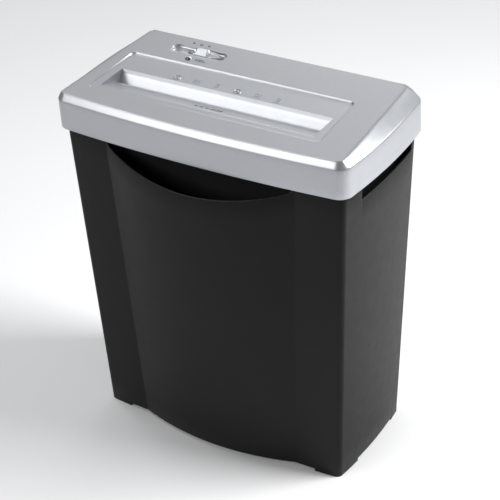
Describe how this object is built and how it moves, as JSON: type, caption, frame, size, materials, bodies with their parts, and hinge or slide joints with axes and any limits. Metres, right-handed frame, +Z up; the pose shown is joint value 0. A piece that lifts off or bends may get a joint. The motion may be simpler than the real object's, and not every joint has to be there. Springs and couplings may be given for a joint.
{
  "type": "paper shredder",
  "caption": "Strip-cut paper shredder: drive head with an inlet trough, cutter shafts, motor and gear train, lifting off a tapered waste bin with a bulged front.",
  "frame": {"origin": "on the floor, at the bottom centre of the whole machine's bounding box", "axes": "+Z up, -Y towards the user at the front, +X to the right-hand side seen from the front"},
  "size_m": [0.3188, 0.1676, 0.3635],
  "materials": {
    "bin_black": "fine matt texture",
    "silver_plastic": "satin metallic silver paint look",
    "black_plastic": "satin",
    "print": "matt ink",
    "led_lens": "clear tinted",
    "circuit_board": "satin solder mask",
    "capacitor_sleeve": "gloss",
    "relay_blue": "gloss",
    "nylon": "waxy",
    "soft_rubber": "matt",
    "steel": "zinc plated",
    "hard_steel": "oiled hardened steel",
    "bronze": "sintered",
    "ferrite": "matt grey",
    "winding": "enamelled copper on laminations"
  },
  "bodies": {
    "bin_body": {"bin": "bin_black"},
    "slider": {"mode_slider": "silver_plastic"},
    "front_cutter": {"front_shaft": "steel", "front_discs": "hard_steel", "front_spacers": "steel", "front_link_gear": "steel"},
    "back_cutter": {"back_shaft": "steel", "back_discs": "hard_steel", "back_spacers": "steel", "back_link_gear": "steel", "drive_gear": "nylon"},
    "idler": {"idler_gear": "nylon"},
    "rotor": {"motor_shaft": "steel", "armature": "winding", "commutator": "bronze", "motor_pinion": "bronze", "motor_fan": "nylon"},
    "plunger": {"interlock_plunger": "nylon"},
    "head": {"head_cover": "silver_plastic", "head_base": "black_plastic", "printed_marks": "print", "raised_marks": "silver_plastic", "mode_switch": "black_plastic", "power_led": "led_lens", "control_board": "circuit_board", "board_screws": "steel", "capacitor": "capacitor_sleeve", "relay": "relay_blue", "terminal_block": "nylon", "cord_gland": "soft_rubber", "cover_screws": "steel", "throat_guide_front": "black_plastic", "throat_guide_back": "black_plastic", "paper_sensors": "black_plastic", "side_plate_left": "steel", "side_plate_right": "steel", "frame_screws": "steel", "tie_rods": "steel", "shaft_bushes": "bronze", "comb_front": "nylon", "comb_back": "nylon", "idler_axle": "steel", "gear_plate": "steel", "gear_posts": "steel", "post_screws": "steel", "motor_can": "steel", "motor_end_cap": "black_plastic", "motor_magnets": "ferrite", "motor_screws": "steel", "interlock_spring": "steel", "interlock_switch": "black_plastic"}
  },
  "joints": [
    {"name": "head_lift", "type": "slide", "parent": "bin_body", "child": "head", "axis": [0, 0, 1], "range_m": [0, 0.1]},
    {"name": "mode_slide", "type": "slide", "parent": "head", "child": "slider", "axis": [1, 0, 0], "range_m": [-0.0175, 0]},
    {"name": "back_cutter_spin", "type": "hinge", "parent": "head", "child": "back_cutter", "pos_m": [0, 0.0091, 0.312], "axis": [1, 0, 0], "continuous": true},
    {"name": "front_cutter_spin", "type": "hinge", "parent": "head", "child": "front_cutter", "pos_m": [0, -0.0164, 0.312], "axis": [1, 0, 0], "continuous": true},
    {"name": "idler_spin", "type": "hinge", "parent": "head", "child": "idler", "pos_m": [0.12, 0.03844, 0.32599], "axis": [1, 0, 0], "continuous": true},
    {"name": "rotor_spin", "type": "hinge", "parent": "head", "child": "rotor", "pos_m": [0.07, 0.05085, 0.3], "axis": [1, 0, 0], "continuous": true},
    {"name": "plunger_slide", "type": "slide", "parent": "head", "child": "plunger", "axis": [0, 0, 1], "range_m": [-0.003, 0], "deforming": ["interlock_spring"]}
  ],
  "couplings": [
    {"joint": "front_cutter_spin", "follows": "back_cutter_spin", "ratio": -1},
    {"joint": "idler_spin", "follows": "back_cutter_spin", "ratio": -3.3333},
    {"joint": "rotor_spin", "follows": "back_cutter_spin", "ratio": 16.667},
    {"joint": "plunger_slide", "follows": "head_lift", "ratio": -0.03}
  ]
}
